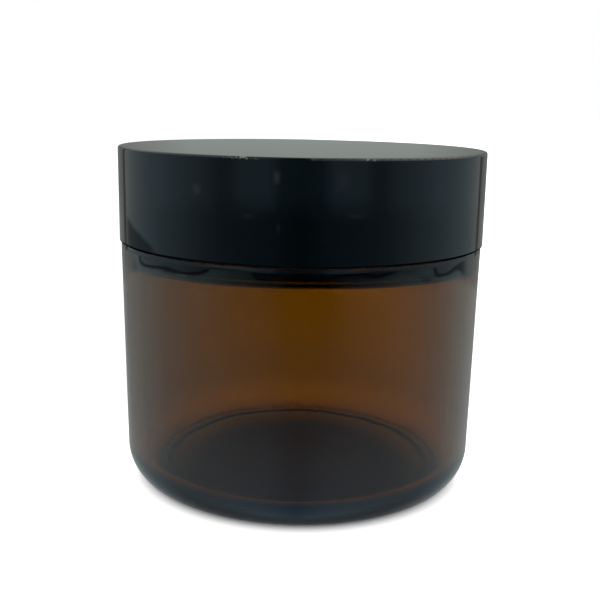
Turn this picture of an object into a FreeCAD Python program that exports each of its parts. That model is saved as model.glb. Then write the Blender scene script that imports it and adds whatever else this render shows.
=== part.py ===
import FreeCAD, Part
import math
import os

# A straight-sided, wide-mouthed glass cream jar of the 60 ml class, with a double-walled
# screw lid. Millimetres, +Z up. The origin is on the jar's axis, on the surface it stands on.
# Every piece but the splines, ribs, grip and threads is turned about that axis.

Vector = FreeCAD.Vector
AXIS = Vector(0, 0, 1)
ORIGIN = Vector(0, 0, 0)

# Driving dimensions -------------------------------------------------------------------

lid_radius = 28.0
lid_height = 14.0
overall_height = 51.3

# Glass jar: outside
body_inset = 0.24          # the wall's top stands this far inside the lid's side
body_taper = 0.46          # and the wall is this much narrower at the heel
lid_gap = 0.1              # air between the lid's rim and the shoulder
bevel_drop = 0.5           # below the shoulder the wall leans in over this height
bevel_run = 0.13           # by this much
bevel_edge = 1.0
shoulder_edge = 0.12       # radius of the shoulder's outer edge
heel_run = 4.0             # the heel's extent inwards
heel_rise = 5.1            # and upwards
bearing_width = 1.9        # the ring of glass that touches the table
push_up = 0.4              # the underside's recess inside that ring
recess_run = 1.2           # over which the underside rises into it
push_up_crown = 0.1        # and its further rise at the centre
bearing_edge = 0.5         # rounding from the ring into the recess
recess_corner = 1.2

# Glass jar: inside
wall_thickness = 2.75
floor_height = 2.4
floor_corner = 3.2
inner_shoulder_drop = 1.9  # glass over the inner shoulder
inner_shoulder_radius = 2.4
inner_shoulder_slope = 1.1  # the shoulder's underside rises this much towards the mouth
throat_radius = 2.6        # rounding from the shoulder's underside into the mouth

# Neck
mouth_radius = 20.3
neck_radius = 22.8
neck_root = 0.8
land_outer_edge = 0.8
land_inner_edge = 0.9

# Screw thread: two starts, right-handed
thread_starts = 2
thread_lead = 8.0
thread_sweep = 225.0       # degrees that each start runs round
thread_fade = 28.0         # degrees over which a start grows out of its wall
glass_thread_depth = 1.0
glass_thread_foot = 2.3
glass_thread_crest = 1.0
cap_thread_depth = 1.0
cap_thread_foot = 1.9
cap_thread_crest = 0.7
flank_gap = 0.14           # between the flanks that pull the lid down
thread_top_drop = 2.6      # from the mouth's land to the middle of the thread's upper end
thread_step = 9.0          # degrees between the sections of a thread
thread_bury = 0.35         # how far a thread's foot reaches into its wall
crest_edge_share = 0.8     # the crest's rounding starts at this share of its height

# Lid
shell_top = 1.6
shell_wall = 1.6
shell_top_edge = 0.35
shell_rim_edge = 0.12
crown_gap = 0.5            # air between the shell's ceiling and the inner cap
cap_top = 1.2
cap_bore = 24.1
cap_wall = 1.3
cap_rim_recess = 0.3       # the inner cap ends this far above the shell's rim
cap_flange = 1.2
cap_flange_root = 0.3
cap_ceiling_edge = 0.3
cap_rim_edge = 0.4
cap_top_edge = 0.8
shell_ceiling_edge = 0.6
fit_gap = 0.05             # between pieces that are pressed or snapped together
snap_depth = 0.25
snap_height = 0.9
snap_flat = 0.3
spline_count = 12
spline_width = 0.9
spline_depth = 0.6
rib_width = 0.8
crown_ring_radius = 15.0
crown_ring_width = 1.2

# Foam liner in the lid
liner_thickness = 1.0      # where the disc presses it
liner_gap = 0.1
liner_edge = 0.2
liner_imprint = 0.12       # depth of the ring that the disc's flange has pressed into it
liner_play = 0.1
liner_bead = 0.4           # the bead in the inner cap that the liner is pushed past
liner_bead_flat = 0.2

# Plastic sealing disc in the mouth
disc_thickness = 0.8
disc_flange_radius = 22.7
flange_foot_edge = 0.16
flange_top_edge = 0.27
plug_depth = 3.0
plug_wall = 0.85
plug_gap = 0.05
plug_edge = 0.35
grip_length = 13.0
grip_height = 2.4
grip_thickness = 1.0
grip_bury = 0.2            # how far the grip's foot reaches into the disc

# Worked-out levels and radii ----------------------------------------------------------

lid_rim_z = overall_height - lid_height
shoulder_z = lid_rim_z - lid_gap
shell_ceiling_z = overall_height - shell_top
cap_top_z = shell_ceiling_z - crown_gap
cap_ceiling_z = cap_top_z - cap_top
liner_z = cap_ceiling_z - liner_thickness
liner_face_z = liner_z - liner_imprint
land_z = liner_z - disc_thickness
cap_rim_z = lid_rim_z + cap_rim_recess

body_top_radius = lid_radius - body_inset
body_foot_radius = body_top_radius - body_taper
shell_bore = lid_radius - shell_wall
cap_radius = cap_bore + cap_wall
cap_flange_radius = shell_bore - fit_gap
snap_z = cap_rim_z + cap_flange / 2
plug_radius = mouth_radius - plug_gap
thread_top_z = land_z - thread_top_drop


# Turned shapes ------------------------------------------------------------------------

def point(radius, height):
    return Vector(radius, 0, height)


def outline(corners):
    """A closed outline through (radius, height, rounding) corners, as a face in the XZ plane."""
    edges = []
    stops = []
    tolerance = 1e-6
    for i, (radius, height, rounding) in enumerate(corners):
        here = point(radius, height)
        before = point(*corners[i - 1][:2]) - here
        after = point(*corners[(i + 1) % len(corners)][:2]) - here
        if rounding == 0:
            stops.append((here, None, here))
            continue
        before.normalize()
        after.normalize()
        half = before.getAngle(after) / 2
        reach = rounding / math.tan(half)
        middle_way = before + after
        middle_way.normalize()
        middle = here + middle_way * (rounding / math.sin(half) - rounding)
        stops.append((here + before * reach, middle, here + after * reach))
    for i, (start, middle, end) in enumerate(stops):
        if middle:
            edges.append(Part.Arc(start, middle, end).toShape())
        following = stops[(i + 1) % len(stops)][0]
        if end.distanceToPoint(following) > tolerance:
            edges.append(Part.makeLine(end, following))
    return Part.Face(Part.Wire(edges))


def turned(corners):
    return outline(corners).revolve(ORIGIN, AXIS, 360)


def two_arc_corner(radius, height, run, rise):
    """The two rounded corners of a heel that reaches run inwards and rise upwards.

    A chamfer across the corner carries one arc at each end. The arcs meet on it.
    """
    slant = math.hypot(run, rise)
    share = (run + rise) / (slant + run + rise)
    cut_run = run * share
    cut_rise = rise * share
    lower_turn = math.atan2(rise, run)
    upper_turn = math.pi / 2 - lower_turn
    lower_radius = (run - cut_run) / math.tan(lower_turn / 2)
    upper_radius = (rise - cut_rise) / math.tan(upper_turn / 2)
    # A hair is taken off each arc, so that a short flat is left between them.
    trim = 0.999
    return [(radius - cut_run, height, lower_radius * trim),
            (radius, height + cut_rise, upper_radius * trim)]


# Threads ------------------------------------------------------------------------------

def thread_start(wall, depth, foot, crest, top_z, top_angle):
    """One start of a thread on a wall: depth is positive outwards and negative inwards.

    It is lofted through upright sections. At both ends it sinks into the wall.
    """
    sections = []
    outwards = math.copysign(1, depth)
    sunk = thread_bury / 2
    steps = round(thread_sweep / thread_step)
    for i in range(steps + 1):
        angle = thread_sweep * i / steps
        end_distance = min(angle, thread_sweep - angle)
        growth = math.sin(min(end_distance / thread_fade, 1.0) * math.pi / 2)
        middle_z = top_z - thread_lead * angle / 360
        back = wall - outwards * thread_bury
        rise = outwards * (sunk + (sunk + abs(depth)) * growth)
        tip = back + rise
        edge = back + rise * crest_edge_share
        foot_low = point(back, middle_z - foot / 2)
        foot_high = point(back, middle_z + foot / 2)
        edge_low = point(edge, middle_z - crest / 2)
        edge_high = point(edge, middle_z + crest / 2)
        section = Part.Wire([
            Part.makeLine(foot_low, edge_low),
            Part.Arc(edge_low, point(tip, middle_z), edge_high).toShape(),
            Part.makeLine(edge_high, foot_high),
            Part.makeLine(foot_high, foot_low),
        ])
        # A right-handed thread climbs anticlockwise, so going down it runs clockwise.
        section.rotate(ORIGIN, AXIS, top_angle - angle)
        sections.append(section)
    return Part.makeLoft(sections, True, False)


def thread(wall, depth, foot, crest, top_z, helix_z):
    """All the starts of a thread, on the helix that passes height helix_z at angle 0."""
    top_angle = 360 * (top_z - helix_z) / thread_lead
    return [thread_start(wall, depth, foot, crest, top_z, top_angle + 360 * i / thread_starts)
            for i in range(thread_starts)]


# Pieces -------------------------------------------------------------------------------

def glass_jar():
    bearing_outer = body_foot_radius - heel_run
    bearing_inner = bearing_outer - bearing_width
    recess_radius = bearing_inner - recess_run
    inner_foot = body_foot_radius - wall_thickness
    inner_top = body_top_radius - wall_thickness
    inner_shoulder_z = shoulder_z - inner_shoulder_drop
    body = turned([
        (0, push_up + push_up_crown, 0),
        (recess_radius, push_up, recess_corner),
        (bearing_inner, 0, bearing_edge),
        *two_arc_corner(body_foot_radius, 0, heel_run, heel_rise),
        (body_top_radius, shoulder_z - bevel_drop, bevel_edge),
        (body_top_radius - bevel_run, shoulder_z, shoulder_edge),
        (neck_radius, shoulder_z, neck_root),
        (neck_radius, land_z, land_outer_edge),
        (mouth_radius, land_z, land_inner_edge),
        (mouth_radius, inner_shoulder_z + inner_shoulder_slope, throat_radius),
        (inner_top, inner_shoulder_z, inner_shoulder_radius),
        (inner_foot, floor_height, floor_corner),
        (0, floor_height, 0),
    ])
    starts = thread(neck_radius, glass_thread_depth, glass_thread_foot,
                    glass_thread_crest, thread_top_z, thread_top_z)
    return body.fuse(starts)


def sealing_disc():
    plug_bottom = land_z - plug_depth
    web_top = plug_bottom + disc_thickness
    plug_inner = plug_radius - plug_wall
    disc = turned([
        (0, plug_bottom, 0),
        (plug_radius, plug_bottom, plug_edge),
        (plug_radius, land_z, 0),
        (disc_flange_radius, land_z, flange_foot_edge),
        (disc_flange_radius, liner_z, flange_top_edge),
        (plug_inner, liner_z, plug_edge),
        (plug_inner, web_top, plug_edge),
        (0, web_top, 0),
    ])
    half = grip_length / 2
    foot_z = web_top - grip_bury
    grip_face = Part.Face(Part.Wire([
        Part.Arc(point(-half, foot_z), point(0, web_top + grip_height),
                 point(half, foot_z)).toShape(),
        Part.makeLine(point(half, foot_z), point(-half, foot_z)),
    ]))
    grip = grip_face.extrude(Vector(0, grip_thickness, 0))
    grip.translate(Vector(0, -grip_thickness / 2, 0))
    return disc.fuse(grip)


def lid_liner():
    radius = cap_bore - liner_gap
    plug_inner = plug_radius - plug_wall
    return turned([
        (0, liner_face_z, 0),
        (plug_inner - liner_imprint, liner_face_z, 0),
        (plug_inner, liner_z, 0),
        (disc_flange_radius, liner_z, 0),
        (disc_flange_radius + liner_imprint, liner_face_z, 0),
        (radius, liner_face_z, liner_edge),
        (radius, cap_ceiling_z, liner_edge),
        (0, cap_ceiling_z, 0),
    ])


def snap_profile(radius, depth):
    """The corners of a snap bead, or of its groove, going up a wall."""
    return [
        (radius, snap_z - snap_height / 2, 0),
        (radius + depth, snap_z - snap_flat / 2, 0),
        (radius + depth, snap_z + snap_flat / 2, 0),
        (radius, snap_z + snap_height / 2, 0),
    ]


def upright_bar(inner, outer, width, sideways, low, high, angle):
    """A square bar on a turned wall, from radius inner to radius outer."""
    bar = Part.makeBox(outer - inner, width, high - low,
                       Vector(inner, sideways - width / 2, low))
    bar.rotate(ORIGIN, AXIS, angle)
    return bar


def lid_inner_cap():
    flange_top = cap_rim_z + cap_flange
    bead_top = liner_face_z - liner_play
    bead_foot = bead_top - 2 * liner_bead - liner_bead_flat
    body = turned([
        (0, cap_ceiling_z, 0),
        (cap_bore, cap_ceiling_z, cap_ceiling_edge),
        (cap_bore, bead_top, 0),
        (cap_bore - liner_bead, bead_top - liner_bead, 0),
        (cap_bore - liner_bead, bead_foot + liner_bead, 0),
        (cap_bore, bead_foot, 0),
        (cap_bore, cap_rim_z, cap_rim_edge),
        (cap_flange_radius, cap_rim_z, 0),
        *snap_profile(cap_flange_radius, snap_depth),
        (cap_flange_radius, flange_top, 0),
        (cap_radius, flange_top, cap_flange_root),
        (cap_radius, cap_top_z, cap_top_edge),
        (crown_ring_radius + crown_ring_width, cap_top_z, 0),
        (crown_ring_radius + crown_ring_width, shell_ceiling_z, 0),
        (crown_ring_radius, shell_ceiling_z, 0),
        (crown_ring_radius, cap_top_z, 0),
        (0, cap_top_z, 0),
    ])
    aside = spline_width / 2 + fit_gap + rib_width / 2
    ribs = []
    for i in range(spline_count):
        for side in (-aside, aside):
            ribs.append(upright_bar(cap_radius - cap_wall / 2, shell_bore - 2 * fit_gap,
                                    rib_width, side, flange_top - cap_flange / 2,
                                    cap_top_z - cap_top, 360 * i / spline_count))
    # The lid's thread follows just under the glass one, so that turning it pulls the lid down.
    glass_half_width = (glass_thread_foot + glass_thread_crest) / 4
    cap_half_width = (cap_thread_foot + cap_thread_crest) / 4
    follow = glass_half_width + cap_half_width + flank_gap
    starts = thread(cap_bore, -cap_thread_depth, cap_thread_foot, cap_thread_crest,
                    bead_foot - cap_thread_foot, thread_top_z - follow)
    return body.fuse(ribs + starts)


def lid_outer_shell():
    body = turned([
        (0, shell_ceiling_z, 0),
        (shell_bore, shell_ceiling_z, shell_ceiling_edge),
        *reversed(snap_profile(shell_bore, snap_depth)),
        (shell_bore, lid_rim_z, shell_rim_edge),
        (lid_radius, lid_rim_z, shell_rim_edge),
        (lid_radius, overall_height, shell_top_edge),
        (0, overall_height, 0),
    ])
    splines = [upright_bar(shell_bore - spline_depth, shell_bore + shell_wall / 3,
                           spline_width, 0, cap_rim_z + 2 * cap_flange, shell_ceiling_z,
                           360 * i / spline_count)
               for i in range(spline_count)]
    return body.fuse(splines)


def main():
    os.makedirs("parts", exist_ok=True)
    pieces = {
        "glass_jar": glass_jar(),
        "sealing_disc": sealing_disc(),
        "lid_liner": lid_liner(),
        "lid_inner_cap": lid_inner_cap(),
        "lid_outer_shell": lid_outer_shell(),
    }
    for name, shape in pieces.items():
        solids = shape.Solids
        print(name, "solids", len(solids), "valid", shape.isValid(),
              "volume", round(shape.Volume, 1), "faces", len(shape.Faces))
        shape = solids[0] if len(solids) == 1 else Part.makeCompound(solids)
        shape.exportStep(f"parts/{name}.step")


main()
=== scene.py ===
import math

import bpy
import numpy as np
from mathutils import Matrix, Vector


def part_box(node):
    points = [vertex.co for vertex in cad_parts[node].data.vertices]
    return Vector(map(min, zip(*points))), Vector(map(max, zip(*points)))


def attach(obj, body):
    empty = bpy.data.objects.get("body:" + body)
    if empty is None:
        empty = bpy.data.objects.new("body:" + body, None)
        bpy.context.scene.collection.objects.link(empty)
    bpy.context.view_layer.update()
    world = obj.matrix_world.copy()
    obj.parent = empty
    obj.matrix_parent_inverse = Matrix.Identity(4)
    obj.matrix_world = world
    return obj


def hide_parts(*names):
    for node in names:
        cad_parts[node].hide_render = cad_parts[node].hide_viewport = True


# The looks of the cream jar: a finer mesh for the glass, a procedural material for every piece
# and the studio round them. Lengths are millimetres until they reach a mesh or a node.

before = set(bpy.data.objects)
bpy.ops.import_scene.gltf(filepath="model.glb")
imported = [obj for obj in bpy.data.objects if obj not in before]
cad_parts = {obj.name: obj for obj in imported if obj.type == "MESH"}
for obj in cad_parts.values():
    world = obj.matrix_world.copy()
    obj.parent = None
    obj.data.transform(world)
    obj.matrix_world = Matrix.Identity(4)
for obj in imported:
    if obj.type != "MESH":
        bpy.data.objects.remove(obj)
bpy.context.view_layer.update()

MM = 0.001


def extent(node):
    """A node's outer radius, lowest z and highest z, in millimetres."""
    low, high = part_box(node)
    return high.x / MM, low.z / MM, high.z / MM


# Sizes from the frame --------------------------------------------------------------------

body_top_radius, base_z, land_z = extent("glass_jar")
lid_radius, lid_rim_z, lid_top_z = extent("lid_outer_shell")

# Sizes inside the pieces, the same as in the part's source -------------------------------

LID_GAP = 0.1
BODY_TAPER = 0.46
SHOULDER_EDGE = 0.12
BEVEL_RUN = 0.13
BEVEL_DROP = 0.5
BEVEL_EDGE = 1.0
HEEL_RUN = 4.0
HEEL_RISE = 5.1
BEARING_WIDTH = 1.9
PUSH_UP = 0.4
PUSH_UP_CROWN = 0.1
BEARING_EDGE = 0.5
RECESS_RUN = 1.2
RECESS_CORNER = 1.2
WALL = 2.75
FLOOR_HEIGHT = 2.4
FLOOR_CORNER = 3.2
INNER_SHOULDER_DROP = 1.9
INNER_SHOULDER_RADIUS = 2.4
INNER_SHOULDER_SLOPE = 1.1
THROAT_RADIUS = 2.6
MOUTH_RADIUS = 20.3
NECK_RADIUS = 22.8
NECK_ROOT = 0.8
LAND_OUTER_EDGE = 0.8
LAND_INNER_EDGE = 0.9

THREAD_STARTS = 2
THREAD_LEAD = 8.0
THREAD_SWEEP = 225.0
THREAD_FADE = 28.0
THREAD_DEPTH = 1.0
THREAD_FOOT = 2.3
THREAD_CREST = 1.0
THREAD_TOP_DROP = 2.6
THREAD_BURY = 0.35
THREAD_EDGE_SHARE = 0.8
THREAD_FILLET = 0.22

shoulder_z = lid_rim_z - LID_GAP
body_foot_radius = body_top_radius - BODY_TAPER
bearing_outer = body_foot_radius - HEEL_RUN
bearing_inner = bearing_outer - BEARING_WIDTH
thread_top_z = land_z - THREAD_TOP_DROP


# Turned meshes ---------------------------------------------------------------------------

ARC_STEP = 6.0      # degrees between the points of a rounded corner
ARC_LEAST = 3       # and never fewer steps than this
EDGE_MARGIN = 0.04  # a loop this far from each end of a rounding keeps the straight part straight
LONGEST_STRETCH = 1.6
COLUMNS = 360
ON_AXIS = 1e-6      # a smaller radius is on the axis
TOUCH = 1e-4        # radii that are closer than this are the same


def rounded_corner(here, before, after, rounding):
    """Points round one corner, which lies between the directions before and after."""
    half = before.angle(after) / 2
    reach = rounding / math.tan(half)
    centre = here + (before + after).normalized() * (rounding / math.sin(half))
    start = here + before * reach - centre
    end = here + after * reach - centre
    first = math.atan2(start.y, start.x)
    turn = math.remainder(math.atan2(end.y, end.x) - first, 2 * math.pi)
    count = max(ARC_LEAST, math.ceil(abs(turn) / math.radians(ARC_STEP)))
    points = [here + before * (reach + EDGE_MARGIN)]
    for k in range(count + 1):
        angle = first + turn * k / count
        points.append(centre + rounding * Vector((math.cos(angle), math.sin(angle))))
    points.append(here + after * (reach + EDGE_MARGIN))
    return points


def rounded_outline(corners):
    """Points along a closed outline of (radius, height, rounding) corners.

    Straight stretches are cut so that no piece of them is too long.
    """
    stops = []
    for i, (radius, height, rounding) in enumerate(corners):
        here = Vector((radius, height))
        if rounding == 0:
            stops.append([here])
            continue
        before = (Vector(corners[i - 1][:2]) - here).normalized()
        after = (Vector(corners[(i + 1) % len(corners)][:2]) - here).normalized()
        stops.append(rounded_corner(here, before, after, rounding))
    outline = []
    for i, points in enumerate(stops):
        outline += points
        end = points[-1]
        gap = stops[(i + 1) % len(stops)][0] - end
        pieces = math.ceil(gap.length / LONGEST_STRETCH)
        outline += [end + gap * k / pieces for k in range(1, pieces)]
    return outline


def even_angles(extra):
    """The angles of a turned mesh's columns, evenly spaced, with the extra ones added."""
    angles = {round(360 * i / COLUMNS, 4) for i in range(COLUMNS)}
    angles.update(round(a % 360, 4) for a in extra)
    return np.array(sorted(angles))


def turned_faces(rings, on_axis, columns):
    """Faces between each ring of corner numbers and the next; the last one joins the first."""
    faces = []
    for row, ring in enumerate(rings):
        next_row = (row + 1) % len(rings)
        following = rings[next_row]
        if on_axis[row] and on_axis[next_row]:
            continue
        for i in range(columns):
            j = (i + 1) % columns
            corners = dict.fromkeys((ring[i], ring[j], following[j], following[i]))
            faces.append(tuple(corners))
    return faces


def turned_mesh(name, outline, angles, shape):
    """A closed mesh turned from an outline that starts and ends on the axis.

    shape(radius, height, angle), all arrays in millimetres and degrees, returns the new
    radius and height of every point.
    """
    radius = np.array([p.x for p in outline])[:, None] + 0 * angles[None, :]
    height = np.array([p.y for p in outline])[:, None] + 0 * angles[None, :]
    degrees = angles[None, :] + 0 * radius
    on_axis = radius[:, 0] < ON_AXIS
    radius, height = shape(radius, height, degrees)
    turn = np.radians(degrees)
    points = np.stack([radius * np.cos(turn), radius * np.sin(turn), height], axis=-1) * MM
    verts = []
    rings = []
    for row in range(len(outline)):
        first = len(verts)
        if on_axis[row]:
            verts.append((0.0, 0.0, float(points[row, :, 2].mean())))
            rings.append([first] * len(angles))
        else:
            verts.extend(map(tuple, points[row]))
            rings.append(range(first, first + len(angles)))
    mesh = bpy.data.meshes.new(name)
    mesh.from_pydata(verts, [], turned_faces(rings, on_axis, len(angles)))
    mesh.validate()
    mesh.shade_smooth()
    piece = bpy.data.objects.new(name, mesh)
    bpy.context.scene.collection.objects.link(piece)
    return piece


def soft_max(a, b, blend):
    """The larger of two arrays, with a fillet of about `blend` where they cross."""
    share = np.clip(0.5 + 0.5 * (a - b) / blend, 0, 1)
    return b * (1 - share) + a * share + blend * share * (1 - share)


def smooth_step(low, high, x):
    """Runs smoothly from 0 to 1 while x goes from low to high."""
    t = np.clip((x - low) / (high - low), 0, 1)
    return t * t * (3 - 2 * t)


# The outline of the glass ----------------------------------------------------------------

HEEL_TRIM = 0.98            # the heel's two arcs stop just short of each other
NECK_ROW_HEIGHT = 0.2       # the neck is cut finely enough to carry the thread


def heel_corners(radius, run, rise):
    """The two roundings of the heel: one arc at each end of a chamfer, meeting on it."""
    slant = math.hypot(run, rise)
    share = (run + rise) / (slant + run + rise)
    cut_run = run * share
    cut_rise = rise * share
    lower_turn = math.atan2(rise, run)
    upper_turn = math.pi / 2 - lower_turn
    lower_radius = (run - cut_run) / math.tan(lower_turn / 2)
    upper_radius = (rise - cut_rise) / math.tan(upper_turn / 2)
    return [(radius - cut_run, base_z, lower_radius * HEEL_TRIM),
            (radius, base_z + cut_rise, upper_radius * HEEL_TRIM)]


def jar_corners():
    """The (radius, height, rounding) corners of the glass, from the underside's middle."""
    inner_shoulder_z = shoulder_z - INNER_SHOULDER_DROP
    recess = base_z + PUSH_UP
    below_neck = [
        (0, recess + PUSH_UP_CROWN, 0),
        (bearing_inner - RECESS_RUN, recess, RECESS_CORNER),
        (bearing_inner, base_z, BEARING_EDGE),
        *heel_corners(body_foot_radius, HEEL_RUN, HEEL_RISE),
        (body_top_radius, shoulder_z - BEVEL_DROP, BEVEL_EDGE),
        (body_top_radius - BEVEL_RUN, shoulder_z, SHOULDER_EDGE),
        (NECK_RADIUS, shoulder_z, NECK_ROOT),
    ]
    above_neck = [
        (NECK_RADIUS, land_z, LAND_OUTER_EDGE),
        (MOUTH_RADIUS, land_z, LAND_INNER_EDGE),
        (MOUTH_RADIUS, inner_shoulder_z + INNER_SHOULDER_SLOPE, THROAT_RADIUS),
        (body_top_radius - WALL, inner_shoulder_z, INNER_SHOULDER_RADIUS),
        (body_foot_radius - WALL, FLOOR_HEIGHT, FLOOR_CORNER),
        (0, FLOOR_HEIGHT, 0),
    ]
    return below_neck + above_neck


def on_neck(point):
    return abs(point.x - NECK_RADIUS) < TOUCH


def jar_outline():
    """The points of the glass's outline, with extra rows up the neck."""
    points = rounded_outline(jar_corners())
    outline = []
    for i, here in enumerate(points):
        outline.append(here)
        following = points[(i + 1) % len(points)]
        if on_neck(here) and on_neck(following) and following.y > here.y:
            rows = math.ceil((following.y - here.y) / NECK_ROW_HEIGHT)
            outline += [here.lerp(following, k / rows) for k in range(1, rows)]
    return outline


# What stands out of the glass's outline --------------------------------------------------

# Waves round the axis are (how many, size, phase).
SLOW_WAVES_LOW = ((3, 0.5, 0.4), (7, 0.3, 2.1), (11, 0.2, 5.0))
SLOW_WAVES_HIGH = ((5, 0.5, 1.2), (13, 0.25, 4.2))
SLOW_LENGTH_LOW = 5.3
SLOW_START_LOW = 0.8
SLOW_LENGTH_HIGH = 3.1
SLOW_SIZE = 0.010

WANDER_WAVES = ((2, 0.30, 1.0), (5, 0.22, 3.9), (9, 0.16, 0.3), (17, 0.08, 2.2))
STRENGTH_WAVES = ((4, 0.35, 2.0), (7, 0.25, 0.6), (15, 0.2, 1.4))
RIPPLE_SIZE = 0.026
RIPPLE_LENGTH = 2.3
RIPPLE_START = (0.2, 0.9)       # depths under the shoulder
RIPPLE_END = (2.2, 3.6)

SEAM_ANGLES = (182.0, 2.0)
SEAM_HEIGHT = 0.045
SEAM_HALF_WIDTH = 0.45          # degrees
SEAM_COLUMNS = (-1, -0.5, 0, 0.5, 1)

KNURLS = 60
KNURL_DEPTH = 0.03
KNURL_TOP = 0.4
KNURL_INNER = (0.2, 0.7)        # from the bearing ring's inner edge
KNURL_OUTER = (-0.1, 0.5)       # from its outer edge

OUTSIDE_TOP = 0.01              # the outside ends just above the shoulder


def thread_rise(angle, height):
    """How far the thread stands out of the neck at an angle and a height."""
    rise = np.full(angle.shape, -THREAD_BURY)
    sunk = THREAD_BURY / 2
    for start in range(THREAD_STARTS):
        along = (360 * start / THREAD_STARTS - angle) % 360
        end_distance = np.minimum(along, THREAD_SWEEP - along)
        growth = np.sin(np.clip(end_distance / THREAD_FADE, 0, 1) * math.pi / 2)
        top = sunk + (sunk + THREAD_DEPTH) * growth
        edge = top * THREAD_EDGE_SHARE
        aside = np.abs(height - thread_top_z + THREAD_LEAD * along / 360)
        crest = edge + (top - edge) * (1 - (aside / (THREAD_CREST / 2)) ** 2)
        flank = edge * (THREAD_FOOT / 2 - aside) / ((THREAD_FOOT - THREAD_CREST) / 2)
        profile = np.where(aside < THREAD_CREST / 2, crest, flank) - THREAD_BURY
        rise = np.where(along <= THREAD_SWEEP, np.maximum(rise, profile), rise)
    return rise


def thread(angle, height):
    """The thread with a fillet at its foot, and nothing where there is no thread."""
    level = 0 * height
    rise = soft_max(thread_rise(angle, height), level, THREAD_FILLET)
    return rise - soft_max(level - THREAD_BURY, level, THREAD_FILLET)


def around(angle, waves):
    """A sum of (count, size, phase) waves round the axis."""
    turn = np.radians(angle)
    return sum(size * np.sin(count * turn + phase) for count, size, phase in waves)


def slow_waves(angle, height):
    """Long, shallow waves that hot glass keeps when it leaves the mould."""
    low = around(angle, SLOW_WAVES_LOW) * np.sin(height / SLOW_LENGTH_LOW + SLOW_START_LOW)
    high = around(angle, SLOW_WAVES_HIGH) * np.cos(height / SLOW_LENGTH_HIGH)
    return SLOW_SIZE * (low + high)


def shoulder_ripples(angle, height):
    """Fire-polished unevenness under the shoulder's edge, wandering round the jar."""
    strength = RIPPLE_SIZE * (1 + around(angle, STRENGTH_WAVES))
    depth = shoulder_z - height + around(angle, WANDER_WAVES)
    ripple = strength * np.sin(2 * math.pi * depth / RIPPLE_LENGTH)
    return ripple * (smooth_step(*RIPPLE_START, depth) * (1 - smooth_step(*RIPPLE_END, depth)))


def seam_ridge(angle, seam):
    """A fine line where the mould's halves met."""
    off = np.abs((angle - seam + 180) % 360 - 180) / SEAM_HALF_WIDTH
    return SEAM_HEIGHT * np.clip(1 - off ** 2, 0, None)


def bearing_notches(radius, angle):
    """Radial notches in the ring of glass that the jar stands on."""
    inner_low, inner_high = (bearing_inner + edge for edge in KNURL_INNER)
    outer_low, outer_high = (bearing_outer + edge for edge in KNURL_OUTER)
    across = smooth_step(inner_low, inner_high, radius)
    across *= 1 - smooth_step(outer_low, outer_high, radius)
    notch = 0.5 + 0.5 * np.cos(KNURLS * np.radians(angle))
    return KNURL_DEPTH * notch * across


def glass_shape(radius, height, angle):
    """The glass's radius and height with everything that its plain outline leaves out."""
    outside = (height < shoulder_z + OUTSIDE_TOP) & (radius > bearing_inner)
    side = outside & (radius > body_foot_radius - WALL / 2)
    neck = (np.abs(radius - NECK_RADIUS) < TOUCH) & (height > shoulder_z)
    change = np.where(neck, thread(angle, height), 0.0)
    change = change + np.where(side, slow_waves(angle, height), 0.0)
    change = change + np.where(side, shoulder_ripples(angle, height), 0.0)
    for seam in SEAM_ANGLES:
        change = change + np.where(side | neck, seam_ridge(angle, seam), 0.0)
    lift = np.where(height < base_z + KNURL_TOP, bearing_notches(radius, angle), 0.0)
    return radius + change, height + lift


def make_jar():
    seams = [seam + SEAM_HALF_WIDTH * k for seam in SEAM_ANGLES for k in SEAM_COLUMNS]
    piece = turned_mesh("amber_jar", jar_outline(), even_angles(seams), glass_shape)
    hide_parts("glass_jar")
    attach(piece, "jar")
    return piece


# Node helpers ----------------------------------------------------------------------------

def new_material(name):
    """A node material and its Principled node."""
    material = bpy.data.materials.new(name)
    material.use_nodes = True
    return material, material.node_tree.nodes["Principled BSDF"]


def connect(tree, value, socket):
    """Feeds a socket with another node's socket, a colour without alpha, or a plain value."""
    if isinstance(value, bpy.types.NodeSocket):
        tree.links.new(value, socket)
    elif isinstance(value, tuple) and len(value) == 3 and len(socket.default_value) == 4:
        socket.default_value = (*value, 1.0)
    else:
        socket.default_value = value


def add_node(tree, kind, settings=(), **inputs):
    """A node with its settings and inputs; an input is a value or another node's socket."""
    node = tree.nodes.new(kind)
    for key, value in dict(settings).items():
        setattr(node, key, value)
    for key, value in inputs.items():
        wanted = key.replace("_", " ")
        socket = next(s for s in node.inputs if s.name == wanted and s.enabled)
        connect(tree, value, socket)
    return node


def calculate(tree, operation, first, second=None):
    """The result of one arithmetic operation."""
    node = tree.nodes.new("ShaderNodeMath")
    node.operation = operation
    connect(tree, first, node.inputs[0])
    if second is not None:
        connect(tree, second, node.inputs[1])
    return node.outputs[0]


def product(tree, first, *others):
    for other in others:
        first = calculate(tree, "MULTIPLY", first, other)
    return first


def length_of(tree, vector):
    node = add_node(tree, "ShaderNodeVectorMath", {"operation": "LENGTH"}, Vector=vector)
    return node.outputs["Value"]


def between(tree, value, low, high, at_low=0.0, at_high=1.0):
    """Runs smoothly from at_low to at_high while value goes from low to high."""
    node = add_node(tree, "ShaderNodeMapRange", {"interpolation_type": "SMOOTHSTEP"},
                    Value=value, From_Min=low, From_Max=high, To_Min=at_low, To_Max=at_high)
    return node.outputs[0]


def beside(tree, value, centre, half_width):
    """1 at centre, falling smoothly to 0 at half_width from it."""
    off = calculate(tree, "ABSOLUTE", calculate(tree, "SUBTRACT", value, centre))
    return between(tree, off, 0.0, half_width, 1.0, 0.0)


def mixed(tree, share, first, second):
    """The first colour where share is 0, the second where it is 1."""
    node = tree.nodes.new("ShaderNodeMix")
    node.data_type = "RGBA"
    connect(tree, share, node.inputs[0])
    connect(tree, first, node.inputs[6])
    connect(tree, second, node.inputs[7])
    return node.outputs[2]


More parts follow.
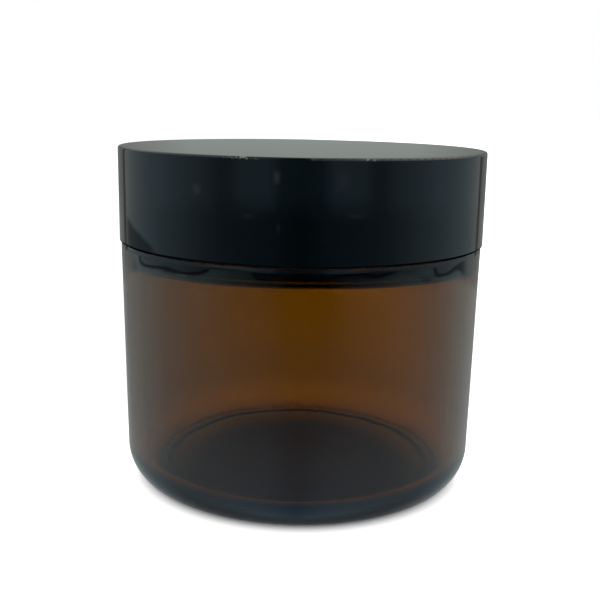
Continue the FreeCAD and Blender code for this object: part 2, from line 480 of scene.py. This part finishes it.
def ramp(tree, share, stops):
    """A colour ramp through (position, colour) stops."""
    node = tree.nodes.new("ShaderNodeValToRGB")
    tree.links.new(share, node.inputs[0])
    elements = node.color_ramp.elements
    elements.remove(elements[1])
    position, colour = stops[0]
    elements[0].position = position
    elements[0].color = (*colour, 1.0)
    for position, colour in stops[1:]:
        elements.new(position).color = (*colour, 1.0)
    return node.outputs[0]


def own_place(tree):
    """Where a point is in the piece's own space, in metres."""
    return add_node(tree, "ShaderNodeTexCoord").outputs["Object"]


def axes_of(tree, vector):
    return add_node(tree, "ShaderNodeSeparateXYZ", Vector=vector).outputs


def noise(tree, scale, detail=3.0, roughness=0.5):
    """Noise in the piece's own space, in features per millimetre."""
    node = add_node(tree, "ShaderNodeTexNoise", Vector=own_place(tree), Scale=scale / MM,
                    Detail=detail, Roughness=roughness)
    return node.outputs["Fac"]


def noise_between(tree, pattern, at_low, at_high):
    """Spreads the middle of a noise, which is most of it, between two values."""
    return between(tree, pattern, 0.3, 0.7, at_low, at_high)


def bump(tree, shader, height, distance):
    """Fine relief in the normals, its depth in millimetres."""
    node = add_node(tree, "ShaderNodeBump", Height=height, Distance=distance * MM, Strength=1.0)
    tree.links.new(node.outputs[0], shader.inputs["Normal"])


# Materials -------------------------------------------------------------------------------

GLASS_IOR = 1.52
GLASS_DENSITY = 1560.0
GLASS_TINT = (0.702, 0.580, 0.0)
GLASS_WAVE_DEPTH = 0.02
BASE_ROUGHNESS = 0.25
BASE_GRAIN_TOP = (0.8, 3.0)     # the grain fades out between these heights

SHELL_IOR = 1.5
SHELL_DARK = (0.0003, 0.0016, 0.0022)
SHELL_LIGHT = (0.0010, 0.0024, 0.0030)
SHELL_GLOSS = 0.5               # Blender's ordinary specular level
HAZE_NOISE = (0.5, 0.75)
HAZE_ROUGHNESS = (0.02, 0.045)
ORANGE_PEEL_DEPTH = 0.006
RIM_SHADE_BAND = 0.30                 # height of the rim whose reflection is switched off, painted shade of the gap under the lid
RIM_FADE = 0.05

PALE_MARKS = ((-106.0, 6.0), (-72.5, 3.0))      # angle round the lid and half width, in degrees
PALE_MARK_NOISE = (0.50, 0.56)
PALE_MARK_DEPTH = 0.30              # how far down from the lid's top
PALE_MARK_FADE = 0.1
PALE_MARK_INNER = (0.6, 0.35)       # how far in from the lid's side
PALE_MARK_ROUGHNESS = (0.4, 0.4, 0.4)
PALE_MARK_COLOUR = (0.16, 0.17, 0.165)

CAP_DARK = (0.008, 0.008, 0.009)
CAP_LIGHT = (0.014, 0.014, 0.015)
CAP_GRAIN_DEPTH = 0.02

FOAM_CELLS = 4.5                # per millimetre
FOAM_CELL_EDGE = 0.55
# The hollow colour is painted shade; the ridge colour is the foam's own white.
FOAM_HOLLOW_SHADE = (0.66, 0.66, 0.63)
FOAM_RIDGE = (0.86, 0.86, 0.84)
FOAM_DIMPLE_DEPTH = 0.05

DISC_DARK = (0.80, 0.81, 0.80)
DISC_LIGHT = (0.87, 0.88, 0.87)
DISC_GLOW_THROUGH = 0.35
DISC_GLOW_REACH = (1.6, 1.4, 1.2)
DISC_GRAIN_DEPTH = 0.008


def amber_glass():
    """Clear amber glass: its colour is what it absorbs, so thick places are darker."""
    material, shader = new_material("amber_glass")
    tree = material.node_tree
    connect(tree, (1.0, 1.0, 1.0), shader.inputs["Base Color"])
    shader.inputs["Transmission Weight"].default_value = 1.0
    shader.inputs["IOR"].default_value = GLASS_IOR
    # The underside keeps the grain of the mould.
    height = axes_of(tree, own_place(tree))["Z"]
    low, high = BASE_GRAIN_TOP
    connect(tree, between(tree, height, low * MM, high * MM, BASE_ROUGHNESS, 0.0),
            shader.inputs["Roughness"])
    bump(tree, shader, noise(tree, 0.25, detail=1.0), GLASS_WAVE_DEPTH)
    absorb = add_node(tree, "ShaderNodeVolumeAbsorption", Color=GLASS_TINT,
                      Density=GLASS_DENSITY)
    tree.links.new(absorb.outputs[0], tree.nodes["Material Output"].inputs["Volume"])
    return material


def lid_edge(tree, place):
    """1 on the lid's outermost half millimetre, 0 inside it."""
    flat = add_node(tree, "ShaderNodeVectorMath", {"operation": "MULTIPLY"})
    tree.links.new(place, flat.inputs[0])
    flat.inputs[1].default_value = (1.0, 1.0, 0.0)
    inner, outer = ((lid_radius - inset) * MM for inset in PALE_MARK_INNER)
    return between(tree, length_of(tree, flat.outputs["Vector"]), inner, outer)


def pale_edge_marks(tree):
    """1 on a few small pale grey marks along the lid's top edge."""
    place = own_place(tree)
    x, y, height = axes_of(tree, place)
    angle = calculate(tree, "DEGREES", calculate(tree, "ARCTAN2", y, x))
    first, second = (beside(tree, angle, middle, width) for middle, width in PALE_MARKS)
    top = (lid_top_z - PALE_MARK_DEPTH) * MM
    return product(tree, calculate(tree, "MAXIMUM", first, second),
                   between(tree, noise(tree, 3.0, detail=4.0), *PALE_MARK_NOISE),
                   between(tree, height, top - PALE_MARK_FADE * MM, top),
                   lid_edge(tree, place))


def gloss_shell():
    """High-gloss black moulded plastic, with a faint orange peel and handling haze."""
    material, shader = new_material("gloss_shell")
    tree = material.node_tree
    pale_mark = pale_edge_marks(tree)
    colour = mixed(tree, noise(tree, 0.08), SHELL_DARK, SHELL_LIGHT)
    haze = between(tree, noise(tree, 0.15, detail=6.0, roughness=0.65), *HAZE_NOISE,
                   *HAZE_ROUGHNESS)
    connect(tree, mixed(tree, pale_mark, haze, PALE_MARK_ROUGHNESS), shader.inputs["Roughness"])
    connect(tree, mixed(tree, pale_mark, colour, PALE_MARK_COLOUR), shader.inputs["Base Color"])
    shader.inputs["IOR"].default_value = SHELL_IOR
    # The rim's lowest band reflects nothing: painted shade, a dark line where the lid meets the
    # glass.
    height = axes_of(tree, own_place(tree))["Z"]
    rim = (lid_rim_z + RIM_SHADE_BAND) * MM
    connect(tree, between(tree, height, rim - RIM_FADE * MM, rim, 0.0, SHELL_GLOSS),
            shader.inputs["Specular IOR Level"])
    bump(tree, shader, noise(tree, 0.35, detail=1.0), ORANGE_PEEL_DEPTH)
    return material


def satin_cap():
    """The inner cap's plastic, as it comes from a spark-eroded mould."""
    material, shader = new_material("satin_cap")
    tree = material.node_tree
    grain = noise(tree, 5.0, detail=4.0)
    connect(tree, mixed(tree, grain, CAP_DARK, CAP_LIGHT), shader.inputs["Base Color"])
    connect(tree, noise_between(tree, grain, 0.30, 0.42), shader.inputs["Roughness"])
    bump(tree, shader, grain, CAP_GRAIN_DEPTH)
    return material


def foam():
    """Fine-celled foam sheet: each cell is a small hollow, painted darker inside as shade."""
    material, shader = new_material("foam")
    tree = material.node_tree
    cells = add_node(tree, "ShaderNodeTexVoronoi", Vector=own_place(tree),
                     Scale=FOAM_CELLS / MM)
    dimple_and_shade = between(tree, cells.outputs["Distance"], 0.0, FOAM_CELL_EDGE)
    # Each cell's hollow is painted darker: painted shade, while the bump gives the real relief.
    connect(tree, mixed(tree, dimple_and_shade, FOAM_HOLLOW_SHADE, FOAM_RIDGE), shader.inputs["Base Color"])
    connect(tree, noise_between(tree, noise(tree, 0.6), 0.75, 0.9), shader.inputs["Roughness"])
    bump(tree, shader, dimple_and_shade, FOAM_DIMPLE_DEPTH)
    return material


def polythene():
    """Satin, slightly translucent white polyethylene."""
    material, shader = new_material("polythene")
    tree = material.node_tree
    milk = noise(tree, 0.12, detail=2.0)
    connect(tree, mixed(tree, milk, DISC_DARK, DISC_LIGHT), shader.inputs["Base Color"])
    connect(tree, noise_between(tree, noise(tree, 1.2), 0.32, 0.45), shader.inputs["Roughness"])
    shader.inputs["Subsurface Weight"].default_value = DISC_GLOW_THROUGH
    shader.inputs["Subsurface Radius"].default_value = DISC_GLOW_REACH
    shader.inputs["Subsurface Scale"].default_value = MM
    bump(tree, shader, noise(tree, 2.5), DISC_GRAIN_DEPTH)
    return material


def dress(piece, material):
    piece.data.materials.clear()
    piece.data.materials.append(material)


# Camera ----------------------------------------------------------------------------------

CAMERA_SENSOR = 36.0
CAMERA_LENS = 54.87
CAMERA_NEAR = 0.005                     # metres
CAMERA_PITCH = 0.2143                   # radians down
CAMERA_ROLL = 0.0181
CAMERA_PLACE = (0, -5.096, 2.078)       # in lid radii


def make_camera():
    """The view: a little above the lid's top, at two and a half lid widths."""
    camera = bpy.data.objects.new("camera", bpy.data.cameras.new("camera"))
    bpy.context.scene.collection.objects.link(camera)
    camera.data.sensor_width = CAMERA_SENSOR
    camera.data.lens = CAMERA_LENS
    camera.data.clip_start = CAMERA_NEAR
    ahead = Vector((0, math.cos(CAMERA_PITCH), -math.sin(CAMERA_PITCH)))
    level = Vector((1, 0, 0))
    upright = level.cross(ahead)
    right = level * math.cos(CAMERA_ROLL) + upright * math.sin(CAMERA_ROLL)
    up = upright * math.cos(CAMERA_ROLL) - level * math.sin(CAMERA_ROLL)
    pose = Matrix((right, up, -ahead)).transposed().to_4x4()
    pose.translation = Vector(CAMERA_PLACE) * lid_radius * MM
    camera.matrix_world = pose
    bpy.context.scene.camera = camera
    bpy.context.scene.view_settings.view_transform = "Standard"


# The room that gloss reflects ------------------------------------------------------------

FRONT_TINT = (0.45, 0.75, 1.0)
SIDE_TINT = (0.62, 0.85, 1.0)
BACK_TINT = (0.93, 1.02, 0.96)
TABLE_SIDE_TINT = (0.68, 1.0, 1.0)
SIDE_START = 50         # degrees from the front at which the side's tint is reached
BACK_START = 100        # and where it begins to turn into the back's
BACK_BLEND = 40
HALF_TURN = 180.0
WHITE = (1.0, 1.0, 1.0)
BLACK = (0.0, 0.0, 0.0)

# Brightness by degrees from the front: the room above the join, the room below it, the table
# far away, and the table near the jar.
ROOM_HIGH = ((0, 0.10), (12, 0.13), (19, 0.32), (36, 0.31), (43, 0.18), (49, 0.17), (57, 0.29),
             (66, 0.38), (90, 0.55), (121, 0.47), (136, 0.42), (145, 0.27), (168, 0.20),
             (173, 0.335), (180, 0.345))
ROOM_LOW = ((0, 0.01), (27, 0.09), (46, 0.12), (57, 0.18), (77, 0.37), (104, 0.50),
            (123, 0.42), (134, 0.38), (146, 0.30), (180, 0.25))
TABLE = ((0, 0.0), (12, 0.01), (27, 0.13), (46, 0.25), (57, 0.37), (80, 0.57),
         (109, 0.72), (130, 0.56), (150, 0.36), (180, 0.33))
TABLE_NEAR = ((0, 0.62), (20, 0.80), (40, 0.82), (70, 0.70), (180, 0.55))

# The ranges below are degrees of elevation, or degrees round the room from the front.
ROOM_JOIN = (-7.6, -5.4)
TABLE_TURN = 5.0        # to the right, how far the table's darkest part is turned
TABLE_FAR_END = (-12.4, -11.7)
TABLE_BEND = 0.75       # how much higher the table ends at the back than in front
TABLE_BEND_SIDES = (60.0, 120.0)
# By degrees below level: how much of what is seen is the near part of the table.
NEAR_SHARE = ((12.0, 0.0), (14.5, 0.02), (17.5, 0.15), (19.6, 0.21), (21.5, 0.42),
              (24.0, 0.66), (27.0, 0.85), (35.0, 1.0))

DARK_SHARE = 0.62       # how dark the post, the corner and the table's edge are
POST_NEAR_SIDE = (137.0, 139.5)
POST_FAR_SIDE = (144.5, 142.0)
POST_FOOT = (-10.0, -9.2)
CORNER_SLOPE = 0.0535
CORNER_TOP = 14.45
CORNER_TOP_FADE = (0.25, -0.25)
CORNER_NEAR_SIDE = (96.0, 106.0)
CORNER_FAR_SIDE = (142.0, 130.0)
CORNER_FOOT = (-9.8, -9.2)
EDGE_BOTTOM = (-11.95, -11.65)
EDGE_TOP = (-11.1, -11.4)
EDGE_SIDES = (130.0, 118.0)

# Small pale panes: degrees to the right, half width, elevation, half height, strength.
PANES = ((-64.5, 4.5, -5.4, 0.45, 0.36), (-14.6, 3.0, -4.7, 0.60, 0.40),
         (24.0, 6.5, -4.8, 1.10, 0.12), (-13.5, 1.8, -7.8, 0.50, 0.16),
         (32.0, 8.0, -6.9, 0.25, 0.14), (-31.0, 5.0, -7.1, 0.22, 0.14))
PANE_COLOUR = (0.9, 0.95, 1.0)

HEEL_SHADE = (0.25, 0.28, 0.31)
HEEL_SHADE_DOWN = (-0.35, -0.9)     # of the direction's z
HEEL_SHADE_BACK = (-0.35, 0.15)     # of the direction's y

ABOVE_START = (8.0, 35.0)
ABOVE_END = (45.0, 75.0)
ABOVE_SIDES = (15.0, 50.0)
ABOVE_SHARE = 0.85
ZENITH_SHARE = 0.3


class Directions:
    """The direction that light comes from, as node sockets: its angles in degrees, its y and z."""

    def __init__(self, tree):
        way = add_node(tree, "ShaderNodeTexCoord").outputs["Generated"]
        x, self.y, self.z = axes_of(tree, way)
        front = calculate(tree, "MULTIPLY", self.y, -1.0)
        self.to_right = calculate(tree, "DEGREES", calculate(tree, "ARCTAN2", x, front))
        self.to_left = calculate(tree, "MULTIPLY", self.to_right, -1.0)
        self.azimuth = calculate(tree, "ABSOLUTE", self.to_right)
        self.elevation = calculate(tree, "DEGREES", calculate(tree, "ARCSINE", self.z))


def room_ramp(tree, degrees_off, stops, side_tint=SIDE_TINT):
    """A ramp by degrees from the front, cool in front and neutral behind."""
    front, side, back = (Vector(tint) for tint in (FRONT_TINT, side_tint, BACK_TINT))
    coloured = []
    for degrees, brightness in stops:
        tint = front.lerp(side, min(1.0, degrees / SIDE_START))
        tint = tint.lerp(back, min(1.0, max(0.0, (degrees - BACK_START) / BACK_BLEND)))
        coloured.append((degrees / HALF_TURN, brightness * tint))
    return ramp(tree, calculate(tree, "DIVIDE", degrees_off, HALF_TURN), coloured)


def dark_post(tree, way):
    """1 on an upright post at each side."""
    return product(tree, between(tree, way.azimuth, *POST_NEAR_SIDE),
                   between(tree, way.azimuth, *POST_FAR_SIDE),
                   between(tree, way.elevation, *POST_FOOT))


def dark_corner(tree, way):
    """1 on a low corner on the left, whose top slopes."""
    slope = calculate(tree, "MULTIPLY", way.to_left, CORNER_SLOPE)
    top = calculate(tree, "SUBTRACT", slope, CORNER_TOP)
    over_top = calculate(tree, "SUBTRACT", way.elevation, top)
    return product(tree, between(tree, way.to_left, *CORNER_NEAR_SIDE),
                   between(tree, way.to_left, *CORNER_FAR_SIDE),
                   between(tree, over_top, *CORNER_TOP_FADE),
                   between(tree, way.elevation, *CORNER_FOOT))


def table_edge(tree, way, over_table):
    """1 on the table's far edge, a thin dark line."""
    return product(tree, between(tree, over_table, *EDGE_BOTTOM),
                   between(tree, over_table, *EDGE_TOP),
                   between(tree, way.azimuth, *EDGE_SIDES))


def with_panes(tree, way, room):
    """The room with its small pale panes."""
    for side, width, rise, height, strength in PANES:
        pane = product(tree, beside(tree, way.to_right, side, width),
                       beside(tree, way.elevation, rise, height), strength)
        room = mixed(tree, pane, room, PANE_COLOUR)
    return room


def with_table(tree, way, room, over_table):
    """The room with the table under it: its far part, then the part near the jar."""
    off_table = calculate(tree, "ABSOLUTE", calculate(tree, "SUBTRACT", way.to_right, TABLE_TURN))
    room = mixed(tree, between(tree, over_table, *TABLE_FAR_END),
                 room_ramp(tree, off_table, TABLE, TABLE_SIDE_TINT), room)
    below_level = calculate(tree, "MULTIPLY", way.elevation, -1.0)
    down = calculate(tree, "DIVIDE", below_level, 90.0)
    near_share = ramp(tree, down, [(d / 90, [s] * 3) for d, s in NEAR_SHARE])
    return mixed(tree, near_share, room, room_ramp(tree, way.azimuth, TABLE_NEAR))


def light_above(tree, way):
    """How much of the pale light from above there is: most at the sides, less at the top."""
    return product(tree, between(tree, way.elevation, *ABOVE_START, 0.0, ABOVE_SHARE),
                   between(tree, way.elevation, *ABOVE_END, 1.0, ZENITH_SHARE),
                   between(tree, way.azimuth, *ABOVE_SIDES))


def reflected_room(tree, way):
    """What gloss sees: a bright table, a dim room and pale light from above."""
    bend = between(tree, way.azimuth, *TABLE_BEND_SIDES, 0.0, TABLE_BEND)
    over_table = calculate(tree, "SUBTRACT", way.elevation, bend)
    room = mixed(tree, between(tree, way.elevation, *ROOM_JOIN),
                 room_ramp(tree, way.azimuth, ROOM_LOW), room_ramp(tree, way.azimuth, ROOM_HIGH))
    room = with_panes(tree, way, room)
    low_dark = calculate(tree, "MAXIMUM", dark_corner(tree, way),
                         table_edge(tree, way, over_table))
    dark = calculate(tree, "MAXIMUM", dark_post(tree, way), low_dark)
    room = mixed(tree, calculate(tree, "MULTIPLY", dark, DARK_SHARE), room, BLACK)
    room = with_table(tree, way, room, over_table)
    # Under the jar's own edge the table is in shadow.
    shade = product(tree, between(tree, way.z, *HEEL_SHADE_DOWN),
                    between(tree, way.y, *HEEL_SHADE_BACK))
    room = mixed(tree, shade, room, HEEL_SHADE)
    return mixed(tree, light_above(tree, way), room, WHITE)


# The studio ------------------------------------------------------------------------------

DOME = (0.80, 0.80, 0.80)
THROUGH_GLASS_RISE = (2.0, 20.0)            # degrees of elevation
THROUGH_GLASS_LOW = (0.95, 0.95, 0.95)
THROUGH_GLASS_HIGH = (0.18, 0.18, 0.18)

FLOOR_HALF_WIDTH = 4.0                      # metres
FLOOR_WHITE = (0.93, 0.93, 0.93)
FLOOR_ROUGHNESS = 0.9
FLOOR_GLOW_NEAR = 0.90
FLOOR_GLOW_FAR = 0.30
FLOOR_GLOW_SIDE = 0.50
FLOOR_GLOW_FRONT = 0.45
FLOOR_GLOW_EDGE = 0.30
# Where the floor's glow changes, in radii of the jar's foot.
GLOW_BACK_FADE = (1.0, 2.0)
GLOW_BACK_SHADOW = (0.5, 0.9)
GLOW_FRONT_FADE = (1.0, 1.3)
GLOW_FRONT_SHADOW = (0.85, 1.0)
GLOW_SIDE_FADE = (0.2, 1.3)
GLOW_FRONT_TO_BACK = (-0.4, 0.3)

BACK_LIGHT_WIDTH = 0.9
BACK_LIGHT_DEPTH = 0.6
BACK_LIGHT_WATTS = 1.5
BACK_LIGHT_PLACE = (0, 0.45, 0.75)


def make_world():
    """White for the camera, softer for everything that the light reaches by other ways."""
    world = bpy.data.worlds.new("studio")
    bpy.context.scene.world = world
    world.use_nodes = True
    tree = world.node_tree
    path = add_node(tree, "ShaderNodeLightPath")
    way = Directions(tree)
    through_glass = mixed(tree, between(tree, way.elevation, *THROUGH_GLASS_RISE),
                          THROUGH_GLASS_LOW, THROUGH_GLASS_HIGH)
    light = mixed(tree, path.outputs["Is Transmission Ray"], DOME, through_glass)
    light = mixed(tree, path.outputs["Is Glossy Ray"], light, reflected_room(tree, way))
    light = mixed(tree, path.outputs["Is Camera Ray"], light, WHITE)
    tree.links.new(light, tree.nodes["Background"].inputs["Color"])


def floor_glow(tree):
    """Painted light: the floor's own glow, which leaves only a narrow shadow round the jar's foot.
    """
    place = add_node(tree, "ShaderNodeNewGeometry").outputs["Position"]
    x, y, _ = axes_of(tree, place)
    distance = length_of(tree, place)
    foot = body_foot_radius * MM

    def over(value, radii, *levels):
        return between(tree, value, *(foot * r for r in radii), *levels)

    fading = over(distance, GLOW_BACK_FADE, FLOOR_GLOW_NEAR, FLOOR_GLOW_FAR)
    # Painted light: the floor glows more towards the right.
    aside = over(x, GLOW_SIDE_FADE, 0.0, FLOOR_GLOW_SIDE)
    back = product(tree, calculate(tree, "ADD", fading, aside), over(distance, GLOW_BACK_SHADOW))
    front = over(distance, GLOW_FRONT_FADE, FLOOR_GLOW_FRONT + FLOOR_GLOW_EDGE, FLOOR_GLOW_FRONT)
    front = product(tree, front, over(distance, GLOW_FRONT_SHADOW))
    return mixed(tree, over(y, GLOW_FRONT_TO_BACK), front, back)


def make_floor():
    """A white sheet with a painted glow of its own, which fades into the white behind it."""
    mesh = bpy.data.meshes.new("floor")
    s = FLOOR_HALF_WIDTH
    mesh.from_pydata([(-s, -s, 0), (s, -s, 0), (s, s, 0), (-s, s, 0)], [], [(0, 1, 2, 3)])
    floor = bpy.data.objects.new("floor", mesh)
    bpy.context.scene.collection.objects.link(floor)
    material, shader = new_material("floor")
    tree = material.node_tree
    connect(tree, FLOOR_WHITE, shader.inputs["Base Color"])
    shader.inputs["Roughness"].default_value = FLOOR_ROUGHNESS
    shader.inputs["Specular IOR Level"].default_value = 0.0
    connect(tree, WHITE, shader.inputs["Emission Color"])
    connect(tree, floor_glow(tree), shader.inputs["Emission Strength"])
    mesh.materials.append(material)
    floor.visible_glossy = False


def make_back_light():
    """One soft light, above and behind."""
    lamp = bpy.data.lights.new("back_light", "AREA")
    lamp.shape = "RECTANGLE"
    lamp.size = BACK_LIGHT_WIDTH
    lamp.size_y = BACK_LIGHT_DEPTH
    lamp.energy = BACK_LIGHT_WATTS
    light = bpy.data.objects.new("back_light", lamp)
    bpy.context.scene.collection.objects.link(light)
    light.location = BACK_LIGHT_PLACE
    light.rotation_euler = (-light.location).to_track_quat("-Z", "Y").to_euler()
    light.visible_glossy = False


def main():
    make_camera()
    make_world()
    make_floor()
    make_back_light()
    dress(make_jar(), amber_glass())
    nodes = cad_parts
    dress(nodes["lid_outer_shell"], gloss_shell())
    dress(nodes["lid_inner_cap"], satin_cap())
    dress(nodes["lid_liner"], foam())
    dress(nodes["sealing_disc"], polythene())


main()
